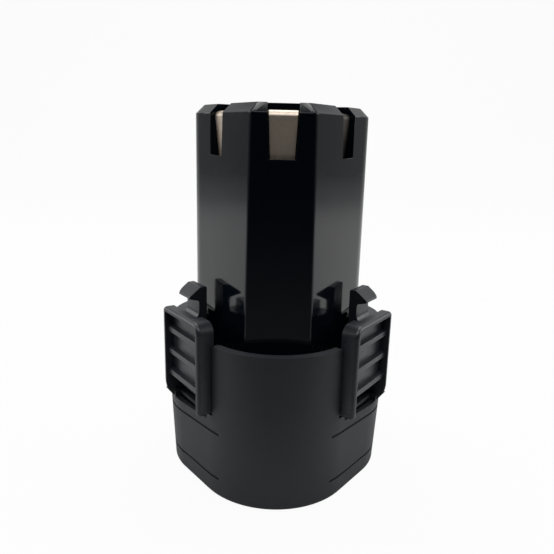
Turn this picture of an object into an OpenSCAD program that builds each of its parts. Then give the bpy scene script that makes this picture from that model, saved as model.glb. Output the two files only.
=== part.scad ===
// Battery pack for a hand tool: three round cells stacked as a trefoil, a glossy tower that plugs into
// the handle, a matt cup below it, and two hinged spring latches on the flanks.
// Millimetres, +Z up. The origin is on the underside, in the middle of the footprint's width.
// The contact facet faces -Y. The latch angle is measured from the X axis towards the front.

/* [Cells] */
// Diameter of one wrapped cell
cell_d = 18.3; // [17.8:0.1:18.4]
// Length of one cell, button included
cell_l = 65; // [63:0.5:66]
// Gap between neighbouring cells
cell_gap = 0.3; // [0.1:0.1:0.6]
// Diameter of the raised button
cell_button_d = 6.4; // [5:0.1:8]
// Height of the raised button
cell_button_h = 1.2; // [0.8:0.1:2]

/* [Tower] */
// Height of the whole pack
pack_h = 88.3; // [87:0.1:92]
// Wall of the tower
tower_wall = 1.6; // [1.4:0.1:1.8]
// Thickness of the tower's roof
roof_t = 2; // [1.5:0.1:2.5]
// Play between a rear cell and the tower
lobe_play = 0.65; // [0.45:0.05:0.8]
// Play between the front cell and the flat front facet
facet_play = 0.1; // [0.1:0.05:0.4]
// Flat width of the front facet
facet_w = 11.2; // [10.6:0.1:11.6]
// Radius of the two edges beside the front facet
facet_edge_r = 1.5; // [1.2:0.1:1.8]
// Chamfer round the roof
roof_chamfer = 2; // [1:0.1:2]
// Height of the tower's open lower end
tower_foot = 10; // [9.8:0.1:11]
// Height of the flange that closes the gap behind the cup's rim
flange_z = 28; // [26:0.5:30]
// Thickness of that flange
flange_t = 2; // [1.6:0.1:2.4]

/* [Contact slots] */
// Height of the lower end of each slot
slot_z = 77.2; // [76:0.1:79]
// Width of a slot at its lower end
slot_low_w = 5.5; // [5:0.1:6]
// Width of a slot at the roof
slot_high_w = 6.5; // [6:0.1:7]
// How far a slot reaches into the roof
slot_reach = 5.5; // [4.5:0.1:6]
// How far the side slots sit behind the middle of their flank
side_slot_back = 0.7; // [0:0.1:1.5]

/* [Contacts] */
// Thickness of the contact metal
contact_t = 0.5; // [0.4:0.05:0.6]
// Depth of the contact's face behind the slot at its top
contact_high_depth = 1.1; // [0.9:0.05:1.3]
// Depth of the contact's face at the slot's lower end
contact_low_depth = 2.2; // [2.1:0.05:2.4]
// Outer radius of the bend at the contact's top
contact_bend_r = 1.3; // [1.1:0.05:1.5]
// Distance from the roof down to the contact's top
contact_below_roof = 1.5; // [1.2:0.1:2]
// Side play between a contact and its slot
contact_play = 0.2; // [0.15:0.05:0.3]

/* [Cup] */
// Height of the cup's rim
cup_h = 36.9; // [36:0.1:38]
// Distance from the middle to the front of the cup
cup_front = 27.6; // [27.2:0.1:28.4]
// Distance from the middle to the back of the cup
cup_back = 21.5; // [21.3:0.1:22.5]
// Half the width of the cup
cup_half_w = 25.8; // [25.6:0.1:26.5]
// Radius of the cup's front
cup_front_r = 19.6; // [19:0.1:20.2]
// Radius of the cup's sides
cup_side_r = 16.3; // [16:0.1:16.6]
// Distance by which the side arcs sit ahead of the middle
cup_side_ahead = 0.85; // [0.5:0.05:1.2]
// Wall of the cup
cup_wall = 2; // [1.8:0.1:2.1]
// Thickness of the cup's floor
cup_floor = 2.4; // [2.2:0.1:2.8]
// Radius of the edge round the cup's underside
cup_foot_r = 1.4; // [0.8:0.1:1.6]
// Height of the lower panel line on each flank
panel_low_z = 5; // [4:0.1:7]
// Height of the upper panel line on each flank
panel_high_z = 16.3; // [14:0.1:17]
// Width and depth of a panel line
panel_line = 0.4; // [0.3:0.05:0.6]
// Half the length of a panel line, along the flank
panel_half = 11.4; // [10:0.1:12]

/* [Latches] */
// Direction that a latch faces, turned forwards from the side
latch_angle = 35; // [34:0.5:36]
// Distance from the middle to the face of a latch
latch_out = 27.3; // [27:0.1:27.8]
// Half the width of a latch
latch_half = 8.9; // [8.6:0.1:9.2]
// Height of a latch's top
latch_top = 42; // [41:0.1:43]
// Height of the lower end of a latch's legs
latch_foot = 20.4; // [20:0.1:21]
// Width of the bar on each side of the grip
latch_bar = 2.3; // [2:0.1:2.8]
// Gap between a latch and the notch in the cup
latch_play = 0.35; // [0.3:0.05:0.6]
// Height of the lower edge of the notch in the cup
notch_z = 19.3; // [18.5:0.1:19.5]
// Depth of the grip's floor behind the latch's face
grip_depth = 2; // [1.6:0.1:2.4]
// Depth of a grip rib's crest behind the latch's face
crest_depth = 0.8; // [0.4:0.1:1.2]
// Number of grip ribs
rib_count = 3; // [2:1:3]
// Distance from one grip rib to the next
rib_pitch = 5.45; // [5:0.05:5.8]
// Height of the grip's lower edge
grip_foot = 25.6; // [25:0.1:26]
// Thickness of the latch's wall behind the grip
latch_skin = 2; // [1.8:0.1:2.4]

/* [Hooks] */
// Distance from the middle to the inner face of a hook
hook_in = 18.8; // [18.7:0.1:19.2]
// Thickness of a hook's neck
hook_t = 2; // [1.8:0.1:2.4]
// How far the hook's catch stands out from its neck
catch_out = 3; // [2:0.1:3]
// Height of the top of a hook
hook_top = 47.1; // [46:0.1:48]
// Height of the sloping face of the catch
catch_h = 2.4; // [2:0.1:3]
// Width of a hook
hook_w = 6.2; // [5.5:0.1:6.4]
// Distance from the latch's middle back to the hook
hook_back = 2.5; // [2:0.1:2.6]
// Radius of the catch's rear corner
catch_corner_r = 2.2; // [1.6:0.1:2.5]

/* [Hinges] */
// Distance from the middle to the hinge pin
hinge_out = 21.6; // [21.3:0.1:21.9]
// Height of the hinge pin
hinge_z = 22.6; // [22.4:0.1:23]
// Diameter of the hinge pin
pin_d = 2; // [1.8:0.1:2.2]
// Running clearance round the hinge pin
pin_play = 0.05; // [0.03:0.01:0.09]
// Radius of the latch's hinge barrel
barrel_r = 2.1; // [1.9:0.1:2.2]
// Thickness of each hinge lug inside the cup
lug_t = 2.8; // [2.2:0.1:3]

/* [Latch springs] */
// Outer diameter of a latch spring
spring_d = 4.6; // [4.2:0.1:5]
// Diameter of the spring wire
spring_wire = 0.5; // [0.4:0.05:0.6]
// Number of turns in a latch spring
spring_turns = 5; // [4:1:6]
// Height of a latch spring's axis
spring_z = 31; // [30.6:0.1:31.4]
// Diameter of the posts that hold a spring's ends
post_d = 3; // [2.6:0.1:3.2]
// Length of each post
post_l = 1.5; // [1.2:0.1:1.8]

/* [Inside] */
// Thickness of the foam under the cells
foam_t = 1; // [0.8:0.1:1.2]
// Thickness of the lower cell holder's plate
holder_t = 1.2; // [1:0.1:1.4]
// Thickness of the upper cell holder
upper_holder_t = 2; // [1.6:0.1:2.4]
// Height of the lower holder's collar above its plate
collar_h = 4.6; // [4:0.1:4.9]
// Thickness of the welded metal strips
strip_t = 0.2; // [0.15:0.05:0.25]
// Width of the strips that join two cells
strip_w = 7; // [5:0.1:8]
// Thickness of the circuit board
board_t = 1.4; // [1:0.1:1.6]
// Thickness of an insulating ring on a cell's button end
insulator_t = 0.2; // [0.15:0.05:0.3]
// Play between the inner plates and the tower
inner_play = 0.3; // [0.3:0.05:0.5]

/* [Screws] */
// Diameter of a case screw's shank
screw_d = 2.5; // [2.2:0.1:2.6]
// Length of a case screw's shank
screw_l = 14; // [12:0.5:16]
// Diameter of a case screw's head
screw_head_d = 4.4; // [4:0.1:4.5]
// Height of a case screw's head
screw_head_h = 1.8; // [1.4:0.1:2]
// Depth of the head's recess in the underside
screw_recess = 2.3; // [2.2:0.1:2.6]
// Radius of the posts that the screws go through
screw_post_r = 2.2; // [2:0.1:2.25]

/* [Hidden] */

round_fn = 128;
small_fn = 48;
eps = 0.01;
seam = 0.01;

// Cell places, as a trefoil with one cell in front
cell_pitch = cell_d + cell_gap;
ring_r = cell_pitch / sqrt(3);
cell_r = cell_d / 2;
front_cell = [0, -ring_r];
rear_cell = [cell_pitch / 2, ring_r / 2];

// Heights inside the pack, from the floor up
foam_z = cup_floor;
holder_z = foam_z + foam_t;
low_strip_z = holder_z + holder_t;
cell_z = low_strip_z + strip_t;
cell_top = cell_z + cell_l;
upper_holder_z = cell_top + strip_t;
board_z = upper_holder_z + upper_holder_t;
board_top = board_z + board_t;

// Outlines are lists of circles, [x, y, radius], counter-clockwise from the front
lobe_r = cell_r + lobe_play + tower_wall;
facet_out = ring_r + cell_r + facet_play + tower_wall;
facet_circle = [facet_w / 2, facet_edge_r - facet_out, facet_edge_r];
lobe_circle = [rear_cell[0], rear_cell[1], lobe_r];
tower_circles = [facet_circle, lobe_circle, flip(lobe_circle), flip(facet_circle)];
cup_side_x = cup_half_w - cup_side_r;
cup_side = [cup_side_x, -cup_side_ahead, cup_side_r];
cup_rear = [cup_side_x, cup_back - cup_side_r, cup_side_r];
cup_circles = [[0, cup_front_r - cup_front, cup_front_r], cup_side, cup_rear, flip(cup_rear), flip(cup_side)];
cells_circles = [[front_cell[0], front_cell[1], cell_r], [rear_cell[0], rear_cell[1], cell_r],
    [-rear_cell[0], rear_cell[1], cell_r]];

// The flank of the tower, as its outward direction and its distance from the middle
flank_angle = edge_angle(facet_circle, lobe_circle);
flank_out = facet_circle[0] * cos(flank_angle) + facet_circle[1] * sin(flank_angle) + facet_edge_r;
inner_edge_r = 0.6;

// Screw places: two beside the front facet, two behind the rear cells
front_screw_aside = 1.6;
front_screw_ahead = 0.8;
rear_screw_past = 0.4;
pillar_over = 2;
front_screw = [facet_circle[0] + front_screw_aside, facet_circle[1] - front_screw_ahead];
rear_screw_reach = lobe_r + rear_screw_past;
rear_screw = [rear_cell[0] + rear_screw_reach * cos(45), rear_cell[1] + rear_screw_reach * sin(45)];
screw_places = [front_screw, rear_screw, [-rear_screw[0], rear_screw[1]], [-front_screw[0], front_screw[1]]];
screw_head_play = 0.2;
screw_bore_play = 0.02;
screw_base_r = 3.4;
screw_base_h = 4.4;
pillar_play = 0.25;
screw_pillar_top = screw_recess + screw_l + pillar_over;
seat_gap = 0.05;

// Latch, hook and spring, in the latch's own frame
latch_in = latch_out - grip_depth - latch_skin;
latch_near_r = 2.5;
latch_far_r = 1;
latch_foot_r = 0.8;
latch_edge = 0.6;
latch_circles = [[-latch_half + latch_foot_r, latch_foot + latch_foot_r, latch_foot_r],
    [latch_half - latch_foot_r, latch_foot + latch_foot_r, latch_foot_r],
    [latch_half - latch_far_r, latch_top - latch_far_r, latch_far_r],
    [-latch_half + latch_near_r, latch_top - latch_near_r, latch_near_r]];
grip_half = latch_half - latch_bar;
grip_floor = latch_out - grip_depth;
grip_crest = latch_out - crest_depth;
grip_below_top = 1;
crest_below_top = 3;
grip_top = latch_top - grip_below_top;
crest_z = latch_top - crest_below_top;
crest_rise = 1.6;
crest_flat = 1.4;
crest_fall = 0.5;
pocket_wall = 2.6;
pocket_ahead = 6;
pocket_depth = 2.5;
pocket_r = 1.2;
web_t = 2.4;
web_bevel = 1.2;
saddle_r = 1.9;
root = 0.5;
pocket_front = latch_out - pocket_wall;
pocket_near = hook_back - pocket_ahead;
pocket_z = latch_top - pocket_depth;
web_z = pocket_z - web_t;
hook_near = hook_back;
hook_far = hook_back + hook_w;
hook_out = hook_in + hook_t;
catch_tip = hook_out + catch_out;
catch_z = hook_top - catch_h;
catch_lip = 0.4;
ridge_w = 1.7;
leg_rise = 6;
leg_lean = 20;
spring_y = -1;
spring_seat = flank_at(spring_y);
spring_end_gap = 0.1;
guide_stand = 0.37;
guide_t = 1.5;
guide_bevel = 0.6;
guide_below_top = 0.6;
guide_out = flank_out + guide_stand;
guide_top = latch_top - guide_below_top;
lug_near = latch_half + latch_play;
lug_reach = 3.3;
lug_in = hinge_out - barrel_r;
pin_inset = 0.5;
pin_half = lug_near + lug_t - pin_inset;
flange_side_play = 0.35;
fillet_over = 0.02;
rim_bevel = 0.4;

// Contacts and their carrier, measured inwards from the face of the tower
bend_z = pack_h - contact_below_roof - contact_bend_r;
bend_depth = contact_high_depth + contact_bend_r;
carrier_depth = contact_low_depth + contact_t + seat_gap;
carrier_drop = 2.5;
carrier_top = bend_z - carrier_drop;
contact_tail = 1.5;
carrier_wall = 1.2;
carrier_roof = 1.5;

// Holder collar and the strips' tabs
collar_wall = 0.8;
collar_play = 0.1;
tab_w = 4;
tab_inset = 1.65;
riser_inset = 0.4;
tab_back_y = rear_cell[1] + strip_w / 2 - strip_t;
tab_front_y = front_cell[1] - cell_r + tab_inset;
riser_y = rear_cell[1] + cell_r - riser_inset;
bead_play = 0.4;
bead_l = 5;
bead_drop = 12;
wire_d = 0.5;

function flip(c) = [-c[0], c[1], c[2]];

// Direction of the outward normal of the straight side that touches two circles
function edge_angle(a, b) = atan2(b[1] - a[1], b[0] - a[0])
    - acos((a[2] - b[2]) / norm([b[0] - a[0], b[1] - a[1]]));

// Distance of the tower's flank in a latch's frame, at a place along the flank
function flank_at(y) = (flank_out - sin(latch_angle + flank_angle) * y) / cos(latch_angle + flank_angle);

function rim_point(c, grow, angle) = [c[0] + (c[2] + grow) * cos(angle), c[1] + (c[2] + grow) * sin(angle)];

// The tower's outline set inwards, with its own small radius at the front facet's edges
function tower_inside(inset) = let (y = inner_edge_r + inset - facet_out,
    x = (flank_out - inset - inner_edge_r - sin(flank_angle) * y) / cos(flank_angle),
    edge = [x, y, inner_edge_r], lobe = [rear_cell[0], rear_cell[1], lobe_r - inset])
    [edge, lobe, flip(lobe), flip(edge)];

// The straight sides that touch a ring of circles, made larger or smaller by grow
module sides(circles, grow) {
    count = len(circles);
    polygon([for (i = [0 : count - 1])
        let (a = circles[i], b = circles[(i + 1) % count], turn = edge_angle(a, b))
        each [rim_point(a, grow, turn), rim_point(b, grow, turn)]]);
}

// The same with the circles. They stand a hair proud of the sides, so that each crosses its side cleanly.
module outline(circles, grow = 0) {
    sides(circles, grow);
    for (c = circles) translate([c[0], c[1]]) circle(r = c[2] + grow + seam, $fn = round_fn);
}

// Section of what a bevelled top edge takes away, with X = 0 on the wall
module bevel_section(top, size) {
    over = 0.5;
    polygon([[-size - over, top + over], [over, top + over], [over, top - size - over]]);
}

// Section of what the bottom edge loses: three flats that follow a quarter circle
module foot_section(bottom, size) {
    over = 0.5;
    near_x = -size * (1 - cos(30));
    far_x = -size * (1 - cos(60));
    near_z = size * (1 - sin(30));
    far_z = size * (1 - sin(60));
    translate([0, bottom]) polygon([[over, size + over * (size - near_z) / -near_x], [near_x, near_z],
        [far_x, far_z], [-size - over * (size + far_x) / far_z, -over], [over, -over]]);
}

// Carries a section along each straight side of an outline, well past both ends
module along_sides(circles) {
    count = len(circles);
    for (i = [0 : count - 1]) {
        turn = edge_angle(circles[i], circles[(i + 1) % count]);
        place = rim_point(circles[i], 0, turn);
        translate([place[0], place[1], 0]) rotate([0, 0, turn]) across(-pack_h, pack_h) children();
    }
}

// A solid with an outline of circles and sides, bevelled round its top and rounded round its foot
module edged_body(circles, bottom, top, bevel, foot) {
    difference() {
        union() {
            for (c = circles) translate([c[0], c[1], 0]) rotate_extrude($fn = round_fn) difference() {
                translate([0, bottom]) square([c[2] + seam, top - bottom]);
                if (c[2] > bevel) translate([c[2] + seam, 0]) bevel_section(top, bevel);
                if (foot > 0) translate([c[2] + seam, 0]) foot_section(bottom, foot);
            }
            translate([0, 0, bottom]) linear_extrude(height = top - bottom) sides(circles, 0);
        }
        along_sides(circles) bevel_section(top, bevel);
        if (foot > 0) along_sides(circles) foot_section(bottom, foot);
    }
}

// Local frame of the right latch: X points out of its face, Y runs back along it
module at_latch() {
    rotate([0, 0, -latch_angle]) children();
}

module on_left() {
    mirror([1, 0, 0]) children();
}

// Local frame of a slot: X points out of the tower's face, with X = 0 on it
module at_slot(angle, out, back) {
    rotate([0, 0, angle]) translate([out, back, 0]) children();
}

// Draws an (outward, up) section and gives it a width along Y, from y0 to y1
module across(y0, y1) {
    translate([0, y1, 0]) rotate([90, 0, 0]) linear_extrude(height = y1 - y0) children();
}

// A square corner less a quarter circle, for a hollow between two walls
module corner_fill(r) {
    difference() {
        translate([-eps, -eps]) square([r + eps, r + eps]);
        translate([r, r]) circle(r = r, $fn = small_fn);
    }
}

// Width of a slot less play on each side, drawn along the face and up
module slot_section(play, z0, z1) {
    slope = (slot_high_w - slot_low_w) / (pack_h - slot_z) / 2;
    low = slot_low_w / 2 - play + slope * (z0 - slot_z);
    high = slot_low_w / 2 - play + slope * (z1 - slot_z);
    polygon([[-low, z0], [low, z0], [high, z1], [-high, z1]]);
}

module slot_cut() {
    over = 1;
    rotate([90, 0, 90]) translate([0, 0, -slot_reach]) linear_extrude(height = slot_reach + over)
        slot_section(0, slot_z, pack_h + over);
}

// The rib behind a hook and the post for a latch spring, in the latch's frame
module flank_parts() {
    across(hook_near, hook_far) polygon([[guide_out - guide_t, flange_z], [guide_out, flange_z],
        [guide_out, guide_top - guide_bevel], [guide_out - guide_t, guide_top]]);
    translate([spring_seat - root, spring_y, spring_z]) rotate([0, 90, 0])
        cylinder(d = post_d, h = post_l + root, $fn = small_fn);
}

// The flange closes the gap behind the cup's rim and is notched for each latch
module flange_outline() {
    difference() {
        outline(cup_circles, -cup_wall - flange_side_play);
        for (side = [0, 1]) mirror([side, 0]) rotate([0, 0, -latch_angle])
            translate([0, -lug_near]) square([2 * cup_half_w, 2 * lug_near]);
    }
}

module tower_shell() {
    color([0.02, 0.02, 0.025])
    difference() {
        union() {
            edged_body(tower_circles, tower_foot, pack_h, roof_chamfer, 0);
            translate([0, 0, flange_z]) linear_extrude(height = flange_t) flange_outline();
            for (place = screw_places) translate([place[0], place[1], tower_foot])
                cylinder(r = screw_post_r, h = screw_pillar_top - tower_foot, $fn = small_fn);
            at_latch() flank_parts();
            on_left() at_latch() flank_parts();
        }
        translate([0, 0, tower_foot - 1]) linear_extrude(height = pack_h - roof_t - tower_foot + 1)
            outline(tower_inside(tower_wall));
        at_slot(-90, facet_out, 0) slot_cut();
        at_slot(flank_angle, flank_out, side_slot_back) slot_cut();
        on_left() at_slot(flank_angle, flank_out, side_slot_back) slot_cut();
        for (place = screw_places) translate([place[0], place[1], tower_foot - 1])
            cylinder(d = screw_d + 2 * screw_bore_play, h = screw_pillar_top - tower_foot, $fn = small_fn);
    }
}

// The notch and the hinge bore of one flank, in the latch's frame
module flank_cuts() {
    over = 1;
    translate([hinge_out - barrel_r - over, -lug_near, notch_z])
        cube([latch_out - hinge_out + barrel_r + 2 * over, 2 * lug_near, cup_h]);
    translate([hinge_out, pin_half + seat_gap, hinge_z]) rotate([90, 0, 0])
        cylinder(d = pin_d + 2 * screw_bore_play, h = 2 * (pin_half + seat_gap), $fn = small_fn);
}

// A thin band round the right flank's outer face, between the ends of a panel line
module panel_outline() {
    difference() {
        outline(cup_circles, 1);
        outline(cup_circles, -panel_line);
        rotate([0, 0, -latch_angle]) translate([-2 * cup_half_w, panel_half])
            square([4 * cup_half_w, 2 * cup_half_w]);
        rotate([0, 0, -latch_angle]) translate([-2 * cup_half_w, -panel_half - 2 * cup_half_w])
            square([4 * cup_half_w, 2 * cup_half_w]);
        translate([-4 * cup_half_w, -2 * cup_half_w]) square([4 * cup_half_w, 4 * cup_half_w]);
    }
}

module hinge_lugs() {
    for (y = [-lug_near - lug_t, lug_near]) translate([lug_in, y, hinge_z - lug_reach])
        cube([latch_out - lug_in, lug_t, 2 * lug_reach]);
}

module cup_shell() {
    color([0.15, 0.15, 0.16])
    difference() {
        union() {
            difference() {
                edged_body(cup_circles, 0, cup_h, rim_bevel, cup_foot_r);
                translate([0, 0, cup_floor]) linear_extrude(height = cup_h) outline(cup_circles, -cup_wall);
            }
            intersection() {
                translate([0, 0, cup_floor]) linear_extrude(height = cup_h - cup_floor)
                    outline(cup_circles, -cup_wall / 2);
                union() {
                    at_latch() hinge_lugs();
                    on_left() at_latch() hinge_lugs();
                }
            }
            for (place = screw_places) translate([place[0], place[1], root]) {
                cylinder(r = screw_base_r, h = screw_base_h - root, $fn = small_fn);
                cylinder(r = screw_post_r, h = tower_foot - seat_gap - root, $fn = small_fn);
            }
        }
        at_latch() flank_cuts();
        on_left() at_latch() flank_cuts();
        for (z = [panel_low_z, panel_high_z]) translate([0, 0, z - panel_line / 2])
            linear_extrude(height = panel_line) {
                panel_outline();
                on_left() panel_outline();
            }
        for (place = screw_places) translate([place[0], place[1], -1]) {
            cylinder(d = screw_head_d + 2 * screw_head_play, h = screw_recess + 1, $fn = small_fn);
            cylinder(d = screw_d + 2 * screw_head_play, h = tower_foot + 2, $fn = small_fn);
        }
        for (place = screw_places) translate([place[0], place[1], tower_foot])
            cylinder(r = screw_post_r + pillar_play, h = cup_h, $fn = small_fn);
    }
}

// The hollow cut out of a latch's face, with the ribs left standing in it
module grip_section() {
    over = 1;
    ribs = [for (i = [rib_count - 1 : -1 : 0]) let (z = crest_z - i * rib_pitch)
        each [[grip_floor, z - crest_flat - crest_fall], [grip_crest, z - crest_flat], [grip_crest, z],
            [grip_floor, z + crest_rise]]];
    polygon(concat([[latch_out + over, latch_foot - over], [latch_in - over, latch_foot - over],
        [latch_in - over, grip_foot], [grip_floor, grip_foot]], ribs,
        [[grip_floor, grip_top], [latch_out + over, grip_top]]));
}

module hook_section() {
    polygon([[hook_in + web_bevel, web_z], [latch_in + root, web_z],
        [latch_in + root, pocket_z], [hook_out, pocket_z], [hook_out, catch_z - root - catch_lip],
        [hook_out + catch_lip, catch_z - root], [catch_tip, catch_z],
        [hook_in + ridge_w, hook_top], [hook_in, hook_top], [hook_in, web_z + web_bevel]]);
    translate([hook_out, pocket_z]) corner_fill(saddle_r);
}

module hook() {
    difference() {
        across(hook_near, hook_far) hook_section();
        translate([catch_tip - catch_corner_r, hook_far - catch_corner_r, pocket_z + saddle_r + root])
            linear_extrude(height = hook_top) difference() {
                square([2 * catch_corner_r, 2 * catch_corner_r]);
                circle(r = catch_corner_r + fillet_over, $fn = small_fn);
            }
    }
}

// Joins one leg of the latch to the hinge barrel
module leg_section() {
    polygon([[hinge_out, hinge_z - barrel_r], [latch_in + root, hinge_z - barrel_r],
        [latch_in + root, hinge_z + leg_rise], [latch_in, hinge_z + leg_rise],
        [hinge_out - barrel_r * cos(leg_lean), hinge_z + barrel_r * sin(leg_lean)]]);
}

// The hollow behind a latch's top, seen from its front corner
module pocket() {
    over = 1;
    reach = pocket_front - latch_in + over;
    linear_extrude(height = latch_top) {
        translate([-reach, 0]) square([reach - pocket_r, 2 * latch_half]);
        translate([-reach, pocket_r]) square([reach, 2 * latch_half]);
        translate([-pocket_r, pocket_r]) circle(r = pocket_r, $fn = small_fn);
    }
}

module latch() {
    color([0.11, 0.11, 0.12])
    difference() {
        union() {
            difference() {
                rotate([90, 0, 90]) edged_body(latch_circles, latch_in, latch_out, latch_edge, 0);
                across(-grip_half, grip_half) grip_section();
                translate([pocket_front, pocket_near, pocket_z]) pocket();
            }
            hook();
            across(-latch_half, -grip_half) leg_section();
            across(grip_half, latch_half) leg_section();
            across(-latch_half, latch_half) translate([hinge_out, hinge_z])
                circle(r = barrel_r, $fn = small_fn);
            translate([latch_in - post_l, spring_y, spring_z]) rotate([0, 90, 0])
                cylinder(d = post_d, h = post_l + root, $fn = small_fn);
        }
        across(-latch_half - 1, latch_half + 1) translate([hinge_out, hinge_z])
            circle(d = pin_d + 2 * pin_play, $fn = small_fn);
    }
}

module latch_right() {
    at_latch() latch();
}

module latch_left() {
    on_left() at_latch() latch();
}

module latch_pin() {
    color([0.7, 0.7, 0.72])
    across(-pin_half, pin_half) translate([hinge_out, hinge_z]) circle(d = pin_d, $fn = small_fn);
}

module latch_pin_right() {
    at_latch() latch_pin();
}

module latch_pin_left() {
    on_left() at_latch() latch_pin();
}

// A round wire wound along X, made of rings of points
module latch_spring() {
    start = spring_seat + seat_gap + spring_wire / 2;
    finish = latch_in - spring_end_gap - spring_wire / 2;
    steps_per_turn = 12;
    sides = 8;
    steps = spring_turns * steps_per_turn;
    coil_r = (spring_d - spring_wire) / 2;
    ring = [for (i = [0 : steps])
        let (turn = 360 * i / steps_per_turn, x = start + (finish - start) * i / steps)
        for (k = [0 : sides - 1]) let (a = 360 * k / sides, r = coil_r + spring_wire / 2 * cos(a))
            [x + spring_wire / 2 * sin(a), spring_y + r * cos(turn), spring_z + r * sin(turn)]];
    walls = [for (i = [0 : steps - 1]) for (k = [0 : sides - 1]) let (m = (k + 1) % sides)
        [i * sides + k, i * sides + m, (i + 1) * sides + m, (i + 1) * sides + k]];
    color([0.75, 0.75, 0.77])
    polyhedron(points = ring, faces = concat(walls, [[for (k = [sides - 1 : -1 : 0]) k]],
        [[for (k = [0 : sides - 1]) steps * sides + k]]));
}

module latch_spring_right() {
    at_latch() latch_spring();
}

module latch_spring_left() {
    on_left() at_latch() latch_spring();
}

module cell() {
    can = cell_l - cell_button_h;
    button_r = cell_button_d / 2;
    edge = 0.5;
    button_edge = 0.2;
    crimp = 0.35;
    crimp_z = can - 3;
    crimp_h = 0.4;
    rotate_extrude($fn = round_fn) polygon([[0, 0], [cell_r - edge, 0], [cell_r, edge],
        [cell_r, crimp_z - crimp_h], [cell_r - crimp, crimp_z], [cell_r - crimp, crimp_z + crimp_h],
        [cell_r, crimp_z + 2 * crimp_h], [cell_r, can - edge], [cell_r - edge, can], [button_r, can],
        [button_r, cell_l - button_edge], [button_r - button_edge, cell_l], [0, cell_l]]);
}

module cell_front() {
    color([0.1, 0.35, 0.6]) translate([front_cell[0], front_cell[1], cell_z]) cell();
}

module cell_rear_right() {
    color([0.1, 0.35, 0.6]) translate([rear_cell[0], rear_cell[1], cell_z]) cell();
}

module cell_rear_left() {
    color([0.1, 0.35, 0.6]) translate([-rear_cell[0], rear_cell[1], cell_top]) rotate([180, 0, 0]) cell();
}

module insulator() {
    edge_play = 1;
    button_play = 0.3;
    difference() {
        cylinder(r = cell_r - edge_play, h = insulator_t, $fn = round_fn);
        translate([0, 0, -1])
            cylinder(d = cell_button_d + 2 * button_play, h = insulator_t + 2, $fn = round_fn);
    }
}

module cell_insulators() {
    up = cell_top - cell_button_h;
    down = cell_z + cell_button_h - insulator_t;
    color([0.85, 0.85, 0.8]) {
        translate([front_cell[0], front_cell[1], up]) insulator();
        translate([rear_cell[0], rear_cell[1], up]) insulator();
        translate([-rear_cell[0], rear_cell[1], down]) insulator();
    }
}

module screw_clearances(r) {
    for (place = screw_places) translate([place[0], place[1]]) circle(r = r, $fn = small_fn);
}

module cell_holder_lower() {
    color([0.9, 0.9, 0.88]) {
        translate([0, 0, holder_z]) linear_extrude(height = holder_t) difference() {
            outline(cells_circles, collar_wall + collar_play);
            screw_clearances(screw_base_r + inner_play);
        }
        translate([0, 0, holder_z]) linear_extrude(height = holder_t + collar_h) difference() {
            outline(cells_circles, collar_wall + collar_play);
            outline(cells_circles, collar_play);
            screw_clearances(screw_base_r + inner_play);
        }
    }
}

// The plate over the cells, with a finger between each pair of them
module cell_holder_upper() {
    finger_w = 2.2;
    finger_in = 11.3;
    finger_t = 2.3;
    finger_h = 6;
    wire_hole_r = 1.6;
    tab_hole_l = 1.4;
    open_end = 5;
    color([0.9, 0.9, 0.88]) {
        translate([0, 0, upper_holder_z]) linear_extrude(height = upper_holder_t) difference() {
            outline(tower_inside(tower_wall + inner_play));
            circle(r = wire_hole_r, $fn = small_fn);
            translate([-tab_w / 2 - inner_play, tab_back_y - inner_play])
                square([tab_w + 2 * inner_play, tab_hole_l]);
            translate([-tab_w / 2 - inner_play, riser_y - inner_play])
                square([tab_w + 2 * inner_play, open_end]);
            translate([-tab_w / 2 - inner_play, tab_front_y - open_end + inner_play + strip_t])
                square([tab_w + 2 * inner_play, open_end]);
        }
        for (turn = [0, 120, 240]) rotate([0, 0, turn])
            translate([-finger_w / 2, finger_in, upper_holder_z - finger_h])
            cube([finger_w, finger_t, finger_h + root]);
    }
}

module foam_pad() {
    color([0.3, 0.3, 0.32]) translate([0, 0, foam_z]) linear_extrude(height = foam_t) difference() {
        outline(cells_circles, -1);
        screw_clearances(screw_base_r + inner_play);
    }
}

// Joins the undersides of the front cell and the rear left one
module strip_lower_link() {
    color([0.8, 0.8, 0.82]) translate([0, 0, low_strip_z]) linear_extrude(height = strip_t)
        translate([front_cell[0], front_cell[1]]) rotate([0, 0, 120])
        translate([-strip_w / 2, -strip_w / 2]) square([cell_pitch + strip_w, strip_w]);
}

// Joins the tops of the two rear cells, with a tab up to the board
module strip_upper_link() {
    color([0.8, 0.8, 0.82]) {
        translate([-cell_pitch / 2 - strip_w / 2, rear_cell[1] - strip_w / 2, cell_top])
            cube([cell_pitch + strip_w, strip_w, strip_t]);
        translate([-tab_w / 2, tab_back_y, cell_top]) cube([tab_w, strip_t, board_z - cell_top - seat_gap]);
    }
}

// Runs from the front cell's top to the board
module strip_positive() {
    color([0.8, 0.8, 0.82]) {
        translate([-tab_w / 2, tab_front_y, cell_top])
            cube([tab_w, front_cell[1] + strip_w / 2 - tab_front_y, strip_t]);
        translate([-tab_w / 2, tab_front_y, cell_top]) cube([tab_w, strip_t, board_z - cell_top - seat_gap]);
    }
}

// Runs from under the rear right cell up between the rear cells to the board
module strip_negative() {
    color([0.8, 0.8, 0.82]) {
        translate([-tab_w / 2, rear_cell[1] - strip_w / 2, low_strip_z])
            cube([tab_w / 2 + rear_cell[0] + strip_w / 2, strip_w, strip_t]);
        translate([-tab_w / 2, rear_cell[1] - strip_w / 2, low_strip_z])
            cube([tab_w, riser_y + strip_t - rear_cell[1] + strip_w / 2, strip_t]);
        translate([-tab_w / 2, riser_y, low_strip_z])
            cube([tab_w, strip_t, board_z - low_strip_z - seat_gap]);
    }
}

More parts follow.
